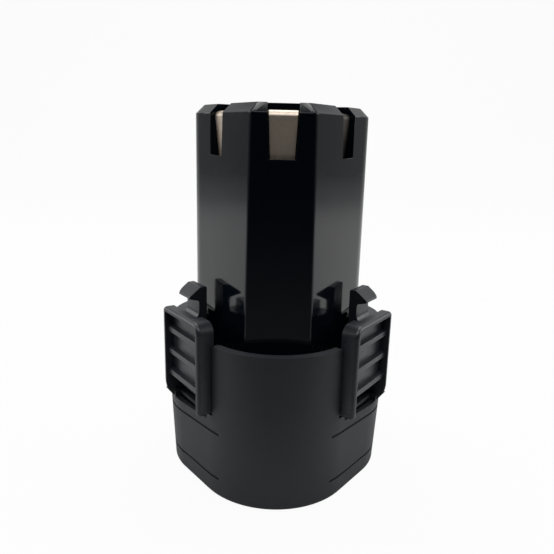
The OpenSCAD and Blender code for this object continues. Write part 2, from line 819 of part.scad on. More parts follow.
// The board carries one flat chip in front of two taller ones, low enough for the room in the carrier
module circuit_board() {
    room = carrier_top - carrier_roof - board_top;
    chip_w = 7;
    chip_l = 5;
    chip_h = room / 5;
    chip_y = -4;
    power_w = 5;
    power_l = 6;
    power_h = 1.4 * chip_h;
    power_x = 4;
    power_y = 3.5;
    color([0.05, 0.3, 0.12]) {
        translate([0, 0, board_z]) linear_extrude(height = board_t)
            outline(tower_inside(tower_wall + inner_play));
        translate([-chip_w / 2, chip_y, board_top - eps]) cube([chip_w, chip_l, chip_h]);
        for (x = [-power_x - power_w, power_x])
            translate([x, power_y, board_top - eps]) cube([power_w, power_l, power_h]);
    }
}

// Section of the contact, outward and up, with the foot on the board and a hairpin at the top
module contact_section() {
    over = 10;
    front_top = -contact_high_depth;
    front_low = -contact_low_depth;
    back = -bend_depth - contact_bend_r;
    polygon([[front_low, board_top], [front_low, slot_z],
        [front_top, bend_z], [front_top - contact_t, bend_z],
        [front_low - contact_t, slot_z], [front_low - contact_t, board_top]]);
    difference() {
        translate([-bend_depth, bend_z]) circle(r = contact_bend_r, $fn = small_fn);
        translate([-bend_depth, bend_z]) circle(r = contact_bend_r - contact_t, $fn = small_fn);
        translate([-bend_depth - over / 2, bend_z - over]) square([over, over]);
    }
    translate([back, bend_z - contact_tail]) square([contact_t, contact_tail]);
}

module contact() {
    color([0.72, 0.68, 0.6])
    intersection() {
        across(-slot_high_w, slot_high_w) contact_section();
        rotate([90, 0, 90]) translate([0, 0, -pack_h / 2]) linear_extrude(height = pack_h / 2)
            slot_section(contact_play, board_top, pack_h);
    }
}

module contact_front() {
    at_slot(-90, facet_out, 0) contact();
}

module contact_right() {
    at_slot(flank_angle, flank_out, side_slot_back) contact();
}

module contact_left() {
    on_left() contact_right();
}

// The pad that backs one contact
module contact_pad() {
    width = slot_low_w / 2 - contact_play;
    across(-width, width) polygon([
        [-contact_low_depth - contact_t - seat_gap, slot_z],
        [-contact_high_depth - contact_t - seat_gap, bend_z - seat_gap],
        [-bend_depth - contact_bend_r + contact_t + seat_gap, bend_z - seat_gap],
        [-bend_depth - contact_bend_r + contact_t + seat_gap, carrier_top - root],
        [-carrier_depth - root, slot_z]]);
}

module contact_carrier() {
    color([0.03, 0.03, 0.03])
    difference() {
        union() {
            translate([0, 0, board_top]) linear_extrude(height = carrier_top - board_top)
                outline(tower_inside(carrier_depth));
            intersection() {
                union() {
                    at_slot(-90, facet_out, 0) contact_pad();
                    at_slot(flank_angle, flank_out, side_slot_back) contact_pad();
                    on_left() at_slot(flank_angle, flank_out, side_slot_back) contact_pad();
                }
                translate([0, 0, board_top]) linear_extrude(height = pack_h) outline(tower_circles);
            }
        }
        translate([0, 0, board_top - 1]) linear_extrude(height = carrier_top - board_top - carrier_roof + 1)
            outline(tower_inside(carrier_depth + carrier_wall));
    }
}

// A bead between the three cells, with two wires up to the board
module thermistor() {
    bead_r = ring_r - cell_r - bead_play;
    bead_z = cell_top - bead_drop;
    wire_z = bead_z + bead_l - root;
    color([0.1, 0.1, 0.1]) {
        translate([0, 0, bead_z]) cylinder(r = bead_r, h = bead_l, $fn = small_fn);
        for (x = [-wire_d, wire_d]) translate([x, 0, wire_z])
            cylinder(d = wire_d, h = board_z - seat_gap - wire_z, $fn = small_fn);
    }
}

module case_screws() {
    drive_w = 2.6;
    drive_t = 0.7;
    drive_h = 0.9;
    color([0.6, 0.6, 0.62])
    for (place = screw_places) translate([place[0], place[1], screw_recess - screw_head_h]) difference() {
        union() {
            cylinder(d = screw_head_d, h = screw_head_h, $fn = small_fn);
            cylinder(d = screw_d, h = screw_head_h + screw_l, $fn = small_fn);
        }
        translate([-drive_w / 2, -drive_t / 2, -1]) cube([drive_w, drive_t, drive_h + 1]);
        translate([-drive_t / 2, -drive_w / 2, -1]) cube([drive_t, drive_w, drive_h + 1]);
    }
}

tower_shell();
cup_shell();
latch_left();
latch_right();
latch_pin_left();
latch_pin_right();
latch_spring_left();
latch_spring_right();
cell_front();
cell_rear_left();
cell_rear_right();
cell_insulators();
cell_holder_lower();
cell_holder_upper();
foam_pad();
strip_lower_link();
strip_upper_link();
strip_positive();
strip_negative();
circuit_board();
contact_carrier();
contact_front();
contact_left();
contact_right();
thermistor();
case_screws();
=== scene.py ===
import math

import bmesh
import bpy
from mathutils import Matrix, Vector


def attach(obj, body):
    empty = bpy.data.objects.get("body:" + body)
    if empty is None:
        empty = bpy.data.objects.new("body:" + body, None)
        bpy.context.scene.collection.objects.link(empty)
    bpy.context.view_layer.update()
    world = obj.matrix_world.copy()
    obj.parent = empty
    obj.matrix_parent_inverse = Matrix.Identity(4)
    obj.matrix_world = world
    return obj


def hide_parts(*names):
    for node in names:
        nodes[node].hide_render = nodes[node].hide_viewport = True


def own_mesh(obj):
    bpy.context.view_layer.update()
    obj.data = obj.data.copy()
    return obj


# Battery pack for a hand tool. Shapes are drawn in millimetres and turned into metres as they are finished.
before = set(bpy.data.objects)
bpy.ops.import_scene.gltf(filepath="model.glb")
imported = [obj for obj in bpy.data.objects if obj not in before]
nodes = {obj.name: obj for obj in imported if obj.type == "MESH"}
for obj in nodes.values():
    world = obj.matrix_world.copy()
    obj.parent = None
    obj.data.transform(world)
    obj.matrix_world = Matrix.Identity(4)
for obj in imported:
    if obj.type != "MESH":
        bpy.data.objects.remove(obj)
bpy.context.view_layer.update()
mm = 0.001
print("stage: frame loaded")


# Camera, taken from the photograph: a square picture
view = {
    "place": (-1.445, -140.841, 82.643),
    "forward": (0.008054, 0.966060, -0.258192),
    "up": (-0.023258, 0.258311, 0.965781),
    "sensor": 36,
    "lens": 37.829,
    "shiftUp": 0.0181,
}


def addCamera():
    forward = Vector(view["forward"]).normalized()
    right = forward.cross(Vector(view["up"])).normalized()
    up = right.cross(forward)
    data = bpy.data.cameras.new("camera")
    data.sensor_width = view["sensor"]
    data.lens = view["lens"]
    data.shift_y = view["shiftUp"]
    data.clip_start = 0.005
    data.clip_end = 20
    camera = bpy.data.objects.new("camera", data)
    bpy.context.scene.collection.objects.link(camera)
    turned = Matrix((right, up, -forward)).transposed().to_4x4()
    camera.matrix_world = Matrix.Translation(Vector(view["place"]) * mm) @ turned
    bpy.context.scene.camera = camera


addCamera()
print("stage: camera")


# Shader maths: a wire wraps one socket, and an expression on wires adds the nodes
class Wire:
    def __init__(self, tree, socket=None):
        self.tree = tree
        self.socket = socket

    def node(self, kind, settings=None, inputs=None, output=0):
        made = self.tree.nodes.new(kind)
        for name, value in (settings or {}).items():
            setattr(made, name, value)
        for name, value in (inputs or {}).items():
            if isinstance(value, Wire):
                self.tree.links.new(value.socket, made.inputs[name])
            else:
                made.inputs[name].default_value = value
        return Wire(self.tree, made.outputs[output] if made.outputs else None)

    def maths(self, operation, first, second):
        return self.node("ShaderNodeMath", {"operation": operation}, {0: first, 1: second})

    def __add__(self, other):
        return self.maths("ADD", self, other)

    def __radd__(self, other):
        return self.maths("ADD", other, self)

    def __sub__(self, other):
        return self.maths("SUBTRACT", self, other)

    def __rsub__(self, other):
        return self.maths("SUBTRACT", other, self)

    def __mul__(self, other):
        return self.maths("MULTIPLY", self, other)

    def __rmul__(self, other):
        return self.maths("MULTIPLY", other, self)

    # Rises smoothly from 0 at low to 1 at high
    def clipped(self, low, high):
        return self.node("ShaderNodeMapRange", {"interpolation_type": "SMOOTHSTEP"},
                         {"Value": self, "From Min": low, "From Max": high})

    def noise(self, scale, detail=2.0, roughness=0.5):
        return self.node("ShaderNodeTexNoise", {},
                         {"Vector": self, "Scale": scale, "Detail": detail, "Roughness": roughness})

    def bump(self, distance, strength=1.0, over=None):
        inputs = {"Height": self, "Distance": distance, "Strength": strength}
        if over is not None:
            inputs["Normal"] = over
        return self.node("ShaderNodeBump", {}, inputs)

    def blend(self, low, high):
        return self.node("ShaderNodeMix", {"data_type": "RGBA"}, {0: self, 6: low, 7: high}, 2)


def rgb(value):
    return (*value, 1.0) if isinstance(value, tuple) else (value, value, value, 1.0)


def newMaterial(name, look):
    material = bpy.data.materials.new(name)
    material.use_nodes = True
    tree = material.node_tree
    tree.nodes.clear()
    start = Wire(tree)
    place = start.node("ShaderNodeTexCoord", output="Object")
    shader = start.node("ShaderNodeBsdfPrincipled", {}, look(start, place))
    start.node("ShaderNodeOutputMaterial", {}, {"Surface": shader})
    return material


# A look's scales count the noise's waves in a metre, and its depths are in millimetres
gloss = {
    "colour": (0.0012, 0.0026, 0.0048), "dust": (0.012, 0.012, 0.012), "dustAmount": 0.5, "dustScale": 2600,
    "roughness": 0.07, "smudge": 0.06, "smudgeScale": 120, "shine": 0.3,
    "waveScale": 70, "waveDepth": 0.12, "grainScale": 3000, "grainDepth": 0.002,
}


def glossLook(start, place):
    smudge = place.noise(gloss["smudgeScale"], 4, 0.6).clipped(0.42, 0.72)
    dust = place.noise(gloss["dustScale"], 2, 0.6).clipped(0.68, 0.78)
    wave = place.noise(gloss["waveScale"], 1, 0.4)
    grain = place.noise(gloss["grainScale"], 2, 0.5)
    ripple = wave.bump(gloss["waveDepth"] * mm, 0.6)
    return {
        "Base Color": (dust * gloss["dustAmount"]).blend(rgb(gloss["colour"]), rgb(gloss["dust"])),
        "Roughness": gloss["roughness"] + smudge * gloss["smudge"] + dust * 0.2,
        "IOR": 1.5,
        "Specular IOR Level": gloss["shine"],
        "Normal": grain.bump(gloss["grainDepth"] * mm, 0.4, ripple),
    }


matt = {
    "colour": (0.0104, 0.0124, 0.0165), "pale": (0.026, 0.0285, 0.033), "roughness": 0.5, "cloudScale": 90,
    "scuffScale": 700, "footWear": (0.4, 2.2), "rimWear": (36.2, 36.9), "wear": 0.6,
    "grainSize": 0.25, "grainDepth": 0.02,
}


def mattLook(start, place):
    height = start.node("ShaderNodeSeparateXYZ", {}, {"Vector": place}, "Z")
    cloud = place.noise(matt["cloudScale"], 3, 0.55).clipped(0.3, 0.75)
    grain = place.noise(1 / (matt["grainSize"] * mm), 3, 0.6)
    scuffs = place.noise(matt["scuffScale"], 4, 0.7).clipped(0.58, 0.7)
    foot = 1 - height.clipped(*[level * mm for level in matt["footWear"]])
    rim = height.clipped(*[level * mm for level in matt["rimWear"]])
    # Here this is only real wear: scuffs at the foot and at the rim
    wearAndPaintedShade = scuffs * (foot + rim) * matt["wear"]
    paler = cloud * 0.18 + wearAndPaintedShade
    return {
        "Base Color": paler.blend(rgb(matt["colour"]), rgb(matt["pale"])),
        "Roughness": matt["roughness"] + cloud * 0.06 - wearAndPaintedShade * 0.1,
        "IOR": 1.5,
        "Normal": grain.bump(matt["grainDepth"] * mm, 0.5),
    }


dark = {
    "colour": (0.0125, 0.015, 0.0195), "pale": (0.028, 0.031, 0.036), "roughness": 0.27, "cloudScale": 140,
    "rubScale": 900, "grainSize": 0.22, "grainDepth": 0.015,
}


def darkLook(start, place):
    cloud = place.noise(dark["cloudScale"], 3, 0.55).clipped(0.3, 0.75)
    grain = place.noise(1 / (dark["grainSize"] * mm), 3, 0.6)
    rub = place.noise(dark["rubScale"], 4, 0.7).clipped(0.55, 0.72)
    paler = cloud * 0.2 + rub * 0.25
    return {
        "Base Color": paler.blend(rgb(dark["colour"]), rgb(dark["pale"])),
        "Roughness": dark["roughness"] + cloud * 0.1,
        "IOR": 1.5,
        "Normal": grain.bump(dark["grainDepth"] * mm, 0.5),
    }


plated = {
    # The near-black colour and the entries after it paint the right contact dark by its place across X:
    # painted shade
    "bright": (0.58, 0.50, 0.42), "tarnish": (0.47, 0.39, 0.32), "wearAndPaintedShade": (0.05, 0.045, 0.04),
    "paintedShadeAmount": 0.97, "paintedShadeFrom": 8.0, "paintedShadeTo": 11.0, "roughness": 0.34,
    "brushScale": 4500, "brushStretch": 0.12, "brushDepth": 0.006, "stainScale": 420,
}


def platedLook(start, place):
    drawn = (1.0, 1.0, plated["brushStretch"])
    stretched = start.node("ShaderNodeMapping", {}, {"Vector": place, "Scale": drawn})
    brushed = stretched.noise(plated["brushScale"], 3, 0.6)
    stain = place.noise(plated["stainScale"], 4, 0.65).clipped(0.35, 0.7)
    across = start.node("ShaderNodeSeparateXYZ", {}, {"Vector": place}, "X")
    # Painted shade: the contact on the right is painted near black by its place across X, standing in for its
    # dark reflection
    wearAndPaintedShade = across.clipped(plated["paintedShadeFrom"] * mm, plated["paintedShadeTo"] * mm) * plated["paintedShadeAmount"]
    kept = stain.blend(rgb(plated["bright"]), rgb(plated["tarnish"]))
    return {
        "Base Color": wearAndPaintedShade.blend(kept, rgb(plated["wearAndPaintedShade"])),
        "Metallic": 1.0,
        "Roughness": plated["roughness"] + brushed * 0.16 + stain * 0.1,
        "Normal": brushed.bump(plated["brushDepth"] * mm, 0.5),
    }


def plainLook(colour, paler, roughness, scale=300, metallic=0.0, depth=0.005):
    def look(start, place):
        cloud = place.noise(scale, 4, 0.6).clipped(0.3, 0.72)
        grain = place.noise(scale * 12, 3, 0.6)
        return {
            "Base Color": cloud.blend(rgb(colour), rgb(paler)),
            "Roughness": roughness + cloud * 0.12,
            "Metallic": metallic,
            "Normal": grain.bump(depth * mm, 0.5),
        }
    return look


materials = {
    "tower": newMaterial("gloss_black_plastic", glossLook),
    "cup": newMaterial("matt_grey_plastic", mattLook),
    "latch": newMaterial("matt_black_plastic", darkLook),
    "contact": newMaterial("plated_spring_metal", platedLook),
}

# Slot: name, colour, paler colour, roughness, noise scale, metallic, grain depth in mm
plainFinishes = {
    "steel": ("blackened_steel", (0.045, 0.045, 0.048), (0.08, 0.08, 0.082), 0.35, 500, 1.0),
    "strip": ("nickel_strip", (0.58, 0.56, 0.53), (0.7, 0.68, 0.65), 0.3, 600, 1.0),
    "cell_can": ("blue_shrink_wrap", (0.01, 0.08, 0.2), (0.02, 0.11, 0.25), 0.25, 200),
    "insulator": ("fibre_paper", (0.62, 0.6, 0.5), (0.72, 0.7, 0.62), 0.8, 900, 0, 0.02),
    "holder": ("natural_plastic", (0.5, 0.5, 0.46), (0.58, 0.58, 0.55), 0.5, 250),
    "foam": ("closed_cell_foam", (0.02, 0.02, 0.022), (0.05, 0.05, 0.052), 0.9, 1500, 0, 0.1),
    "board": ("green_board", (0.004, 0.05, 0.014), (0.006, 0.075, 0.02), 0.35, 500),
    "carrier": ("black_carrier", (0.004, 0.004, 0.004), (0.008, 0.008, 0.008), 0.5, 400),
    "sensor": ("dipped_bead", (0.01, 0.01, 0.01), (0.02, 0.02, 0.02), 0.3, 800),
}
for slot, (name, *finish) in plainFinishes.items():
    materials[slot] = newMaterial(name, plainLook(*finish))
print("stage: materials")


# Outlines are rings of circles, counter-clockwise, joined by their tangent sides
def edgeAngle(a, b):
    apart = math.dist(a[:2], b[:2])
    return math.atan2(b[1] - a[1], b[0] - a[0]) - math.acos((a[2] - b[2]) / apart)


def outline(circles, grow=0.0, steps=24):
    points = []
    for i, (x, y, radius) in enumerate(circles):
        start = edgeAngle(circles[i - 1], circles[i])
        sweep = (edgeAngle(circles[i], circles[(i + 1) % len(circles)]) - start) % math.tau
        size = radius + grow
        for k in range(steps + 1):
            turn = start + sweep * k / steps
            reach = size
            if size <= 0:  # past its centre a small corner becomes a mitre
                turn = start + sweep / 2
                reach = size / math.cos(sweep / 2)
            points.append((x + reach * math.cos(turn), y + reach * math.sin(turn)))
    return points


def flipped(circle):
    return (-circle[0], circle[1], circle[2])


# Rounds the corners of a polygon, or of an open line whose ends stay
def rounded(points, radius, steps=4, openLine=False):
    made = []
    count = len(points)
    for i, point in enumerate(points):
        here = Vector(point)
        size = radius[i] if isinstance(radius, (list, tuple)) else radius
        if (openLine and i in (0, count - 1)) or not size:
            made.append(tuple(here))
            continue
        before = (Vector(points[i - 1]) - here).normalized()
        after = (Vector(points[(i + 1) % count]) - here).normalized()
        half = before.angle(after) / 2
        if half > math.radians(88):
            made.append(tuple(here))
            continue
        centre = here + (before + after).normalized() * size / math.sin(half)
        first = here + before * size / math.tan(half) - centre
        last = here + after * size / math.tan(half) - centre
        turn = first.angle_signed(last)
        for k in range(steps + 1):
            a = -turn * k / steps
            spun = Vector((first.x * math.cos(a) - first.y * math.sin(a),
                           first.x * math.sin(a) + first.y * math.cos(a)))
            made.append(tuple(centre + spun))
    return made


def newPiece(name, points, faces):
    mesh = bpy.data.meshes.new(name)
    mesh.from_pydata([tuple(p) for p in points], [], faces)
    shape = bmesh.new()
    shape.from_mesh(mesh)
    bmesh.ops.remove_doubles(shape, verts=shape.verts, dist=0.0005)
    bmesh.ops.recalc_face_normals(shape, faces=shape.faces)
    shape.to_mesh(mesh)
    shape.free()
    piece = bpy.data.objects.new(name, mesh)
    bpy.context.scene.collection.objects.link(piece)
    return piece


# A solid through rings of the same number of points, closed by its two end faces
def loft(name, rings):
    count = len(rings[0])
    points = [p for ring in rings for p in ring]
    faces = []
    for i in range(len(rings) - 1):
        for k in range(count):
            m = (k + 1) % count
            faces.append((i * count + k, i * count + m, (i + 1) * count + m, (i + 1) * count + k))
    faces.append(tuple(reversed(range(count))))
    faces.append(tuple(range((len(rings) - 1) * count, len(rings) * count)))
    return newPiece(name, points, faces)


# An outline carried up along a profile of (height, grow) pairs
def risen(name, circles, profile, steps=24):
    return loft(name, [[(x, y, z) for x, y in outline(circles, grow, steps)] for z, grow in profile])


# A flat shape given a thickness. The axis is what the thickness runs along.
def prism(name, points, low, high, axis="z"):
    order = {
        "z": lambda a, b, depth: (a, b, depth),
        "y": lambda a, b, depth: (a, depth, b),
        "x": lambda a, b, depth: (depth, a, b),
    }[axis]
    return loft(name, [[order(a, b, depth) for a, b in points] for depth in (low, high)])


# An oblong from near to far along X, as wide as twice its half
def oblong(near, far, half):
    return [(near, -half), (far, -half), (far, half), (near, half)]


def disc(radius, x=0.0, y=0.0, steps=32):
    return [(x + radius * math.cos(math.tau * k / steps), y + radius * math.sin(math.tau * k / steps))
            for k in range(steps)]


# Shifts a piece, turns it about Z and may mirror it to the left
def moved(piece, turn=0.0, shift=(0, 0, 0), mirror=False):
    matrix = Matrix.Rotation(turn, 4, "Z") @ Matrix.Translation(shift)
    if mirror:
        matrix = Matrix.Scale(-1, 4, (1, 0, 0)) @ matrix
    piece.data.transform(matrix)
    if mirror:
        piece.data.flip_normals()
    return piece


# Turns what the modifiers make into the piece's own mesh
def baked(piece):
    bpy.context.view_layer.update()
    mesh = bpy.data.meshes.new_from_object(piece.evaluated_get(bpy.context.evaluated_depsgraph_get()))
    piece.modifiers.clear()
    piece.data = mesh
    return piece


def combined(piece, operation, *tools):
    for tool in tools:
        modifier = piece.modifiers.new(operation, "BOOLEAN")
        modifier.operation = operation
        modifier.solver = "MANIFOLD"
        modifier.object = tool
        baked(piece)
        bpy.data.objects.remove(tool)
    return piece


# Rounds the edges that are sharper than the limit, in degrees, by a small bevel
def softened(piece, width, limit, steps=2, chosen=None):
    shape = bmesh.new()
    shape.from_mesh(piece.data)
    bmesh.ops.remove_doubles(shape, verts=shape.verts, dist=0.004)
    bmesh.ops.dissolve_degenerate(shape, edges=shape.edges, dist=0.004)
    sharp = [e for e in shape.edges if len(e.link_faces) == 2 and e.calc_face_angle() > math.radians(limit)
             and (chosen is None or chosen(e))]
    bmesh.ops.bevel(shape, geom=sharp, offset=width, offset_type="OFFSET", segments=steps, profile=0.5,
                    affect="EDGES", clamp_overlap=True)
    bmesh.ops.recalc_face_normals(shape, faces=shape.faces)
    shape.to_mesh(piece.data)
    shape.free()
    return piece


creaseAngle = math.radians(35)


# From millimetres to metres, with its material, shading and place in the frame
def finished(piece, slot, body, *replaced):
    mesh = piece.data
    mesh.transform(Matrix.Scale(mm, 4))
    mesh.materials.clear()
    mesh.materials.append(materials[slot])
    for face in mesh.polygons:
        face.use_smooth = True
    mesh.set_sharp_from_angle(angle=creaseAngle)
    mesh.update()
    even = piece.modifiers.new("even normals", "WEIGHTED_NORMAL")
    even.keep_sharp = True
    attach(piece, body)
    if replaced:
        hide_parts(*replaced)
    return piece


# Sizes shared by several pieces
cells = {"radius": 9.15, "apart": 18.6, "play": 0.1}
cellRing = cells["apart"] / math.sqrt(3)
rearCell = (cells["apart"] / 2, cellRing / 2)

tower = {
    "top": 88.3, "foot": 10.0, "wall": 1.6, "roof": 2.0, "chamfer": 2.0, "edge": 0.3,
    "facetHalf": 5.6, "facetEdge": 1.5, "lobe": 11.4, "innerEdge": 0.6,
    "flangeLow": 28.0, "flangeHigh": 30.0, "flangeInset": 2.35,
    "pillar": 2.2, "pillarTop": 18.3, "bore": 1.27, "flare": 1.2, "draft": 0.2, "soft": 0.08,
}
facetOut = cellRing + cells["radius"] + cells["play"] + tower["wall"]
facetCircle = (tower["facetHalf"], tower["facetEdge"] - facetOut, tower["facetEdge"])
lobeCircle = (rearCell[0], rearCell[1], tower["lobe"])


# The front facet widens a little towards the foot
def towerAt(z):
    low = max(0.0, (tower["top"] - z) / tower["top"])
    facet = (facetCircle[0] + tower["flare"] * low, facetCircle[1], facetCircle[2])
    lobe = (lobeCircle[0], lobeCircle[1], lobeCircle[2] + tower["draft"] * low)
    return [facet, lobe, flipped(lobe), flipped(facet)]


flankAngle = edgeAngle(facetCircle, lobeCircle)
flankOut = (facetCircle[0] * math.cos(flankAngle) + facetCircle[1] * math.sin(flankAngle)
            + tower["facetEdge"])

cup = {
    "top": 36.9, "floor": 2.4, "wall": 2.0, "foot": 1.4, "steps": 30,
    "frontCentre": -8.0, "frontRadius": 19.6,
    "sideHalf": 9.5, "sideFront": -0.85, "sideBack": 5.2, "sideRadius": 16.3,
    "lean": 0.049, "leanTop": 18.5, "leanFoot": 0.1,
    "groove": 0.4, "grooveWidth": 0.56, "grooveHeights": (5.0, 16.3), "grooveHalf": 11.4,
    "notchIn": 18.5, "notchFoot": 20.2, "notchHalf": 9.25, "outside": 32.0,
    "gripNotchIn": 23.8, "gripNotch": 18.8, "gripNotchHalf": 7.0, "gripLip": 0.6, "thinFoot": 6.0,
    "lugIn": 19.5, "lugOut": 27.3, "lugDepth": 2.8, "lugHalf": 3.3,
}
# A small lip below the far corner of each latch: its section in X and Z, then its ends in Y
cupLip = {
    "section": [(24.1, 18.2), (25.1, 18.6), (26.9, 21.0), (26.7, 21.15), (24.1, 21.15)],
    "ends": (7.9, 8.85),
}


# The cup's sides lean out a little as they rise. Without a height it is the plain outline for what is inside.
def cupAt(z=0.0):
    out = cup["lean"] * min(z, cup["leanTop"]) + (cup["leanFoot"] if z else 0)
    side = (cup["sideHalf"] + out, cup["sideFront"], cup["sideRadius"])
    rear = (cup["sideHalf"] + out, cup["sideBack"], cup["sideRadius"])
    return [(0, cup["frontCentre"], cup["frontRadius"]), side, rear, flipped(rear), flipped(side)]


cupCircles = cupAt()

latch = {
    "turn": math.radians(-35), "out": 27.3, "in": 23.3, "half": 8.9, "foot": 20.4, "top": 42.0,
    "edge": 0.9, "edgeReach": 1.4, "nearFoot": 0.8, "farFoot": 3.4, "farTop": 1.0, "nearTop": 2.5,
    "gripHalf": 7.7, "gripFoot": 25.6, "gripFloor": 25.3, "gripTop": 41.0, "root": 0.5, "soft": 0.16,
    "legFoot": 2.1, "legTop": 6.0, "legBack": (19.627, 23.318),
}
hinge = {"out": 21.6, "height": 22.6, "bore": 1.05, "barrel": 2.1, "boreHalf": 11.6}
hook = {
    "in": 18.8, "out": 20.8, "near": 2.5, "far": 8.7, "catchTip": 23.8, "catch": 44.7, "top": 47.1,
    "ridge": 1.7, "catchLip": 0.9, "catchCorner": 2.2, "saddle": 39.5, "saddleRadius": 1.9,
    "web": 37.1, "webBevel": 1.2, "pocketNear": -3.5, "pocketOut": 24.7, "pocketCorner": 1.2,
    "cornerRise": 2.4, "rounds": (0.5, 0.35, 0.3, 0.3), "soft": 0.25,
}
guide = {"in": 15.5, "out": 17.0, "foot": 29.0, "outerTop": 40.8, "innerTop": 41.4}
spring = {
    "radius": 2.05, "wire": 0.25, "turns": 5.0, "start": 16.93, "end": 22.95, "height": 31.0, "aside": -1.0,
    "pressed": 0.85,  # share of its length that stays when the latch is pressed
    "post": 1.5, "towerPost": (16.0, 18.13), "latchPost": (21.8, 23.8),
}
slots = {"foot": 77.2, "lowHalf": 2.75, "highHalf": 3.25, "reach": 5.5, "sideBack": 0.7}
screws = {
    "halfWidthFront": 7.2, "front": -20.889, "halfWidthBack": 17.644, "back": 13.713,
    "recess": 2.3, "head": 2.2, "headHeight": 1.8, "shank": 1.25, "length": 14.0, "recessRadius": 2.4,
    "base": 3.4, "baseTop": 4.4, "post": 2.2, "postTop": 9.95, "postFoot": 0.5, "hole": 1.45,
    "driveHalf": 1.3, "driveThick": 0.35, "driveDepth": 0.9,
    "headEdge": 0.5, "headCorner": 0.12, "tipLength": 1.5, "tip": 0.3, "soft": 0.05,
}
screwPlaces = [(screws["halfWidthFront"], screws["front"]), (screws["halfWidthBack"], screws["back"]),
               (-screws["halfWidthBack"], screws["back"]), (-screws["halfWidthFront"], screws["front"])]


def slotHalf(z):
    return slots["lowHalf"] + (slots["highHalf"] - slots["lowHalf"]) * (z - slots["foot"]) / (
        tower["top"] - slots["foot"])


# Puts a piece that is drawn with X out of a slot's face where the slot is
def atSlot(piece, which):
    if which == "front":
        return moved(piece, math.radians(-90), (facetOut, 0, 0))
    return moved(piece, flankAngle, (flankOut, slots["sideBack"], 0), which == "left")


def atLatch(piece, mirror=False):
    return moved(piece, latch["turn"], (0, 0, 0), mirror)


def insideTower(inset):
    y = tower["innerEdge"] + inset - facetOut
    x = (flankOut - inset - tower["innerEdge"] - math.sin(flankAngle) * y) / math.cos(flankAngle)
    edge = (x, y, tower["innerEdge"])
    lobe = (rearCell[0], rearCell[1], tower["lobe"] - inset)
    return [edge, lobe, flipped(lobe), flipped(edge)]


def buildTower():
    t = tower
    profile = rounded([(t["foot"], 0), (t["top"] - t["chamfer"], 0), (t["top"], -t["chamfer"]),
                       (t["top"], -t["chamfer"] - 1)], t["edge"], 3, openLine=True)
    body = loft("towerBody", [[(x, y, z) for x, y in outline(towerAt(z), grow, 28)] for z, grow in profile])
    flange = prism("flange", outline(cupCircles, -t["flangeInset"]), t["flangeLow"], t["flangeHigh"])
    for mirror in (False, True):
        gap = oblong(0, 60, cup["notchHalf"])
        combined(flange, "DIFFERENCE", atLatch(prism("gap", gap, 20, 40), mirror))
    combined(body, "UNION", flange)
    for x, y in screwPlaces:
        combined(body, "UNION", prism("pillar", disc(t["pillar"], x, y), t["foot"], t["pillarTop"]))
    for mirror in (False, True):
        section = [(guide["in"], guide["foot"]), (guide["out"], guide["foot"]),
                   (guide["out"], guide["outerTop"]), (guide["in"], guide["innerTop"])]
        rail = prism("guide", section, hook["near"], hook["far"], "y")
        knob = disc(spring["post"], spring["aside"], spring["height"])
        post = prism("post", knob, *spring["towerPost"], "x")
        combined(body, "UNION", atLatch(rail, mirror), atLatch(post, mirror))
    hollow = risen("hollow", insideTower(t["wall"]), [(t["foot"] - 1, 0), (t["top"] - t["roof"], 0)])
    combined(body, "DIFFERENCE", hollow)
    low, high = slots["foot"], t["top"] + 1
    section = [(-slotHalf(low), low), (slotHalf(low), low), (slotHalf(high), high), (-slotHalf(high), high)]
    for which in ("front", "right", "left"):
        combined(body, "DIFFERENCE", atSlot(prism("slotCut", section, -slots["reach"], 1, "x"), which))
    for x, y in screwPlaces:
        bore = prism("boreCut", disc(t["bore"], x, y), t["foot"] - 1, t["pillarTop"] - 1)
        combined(body, "DIFFERENCE", bore)
    softened(body, t["soft"], limit=50, chosen=lambda e: min(v.co.z for v in e.verts) > slots["foot"] - 1)
    return finished(body, "tower", "case", "tower_shell")


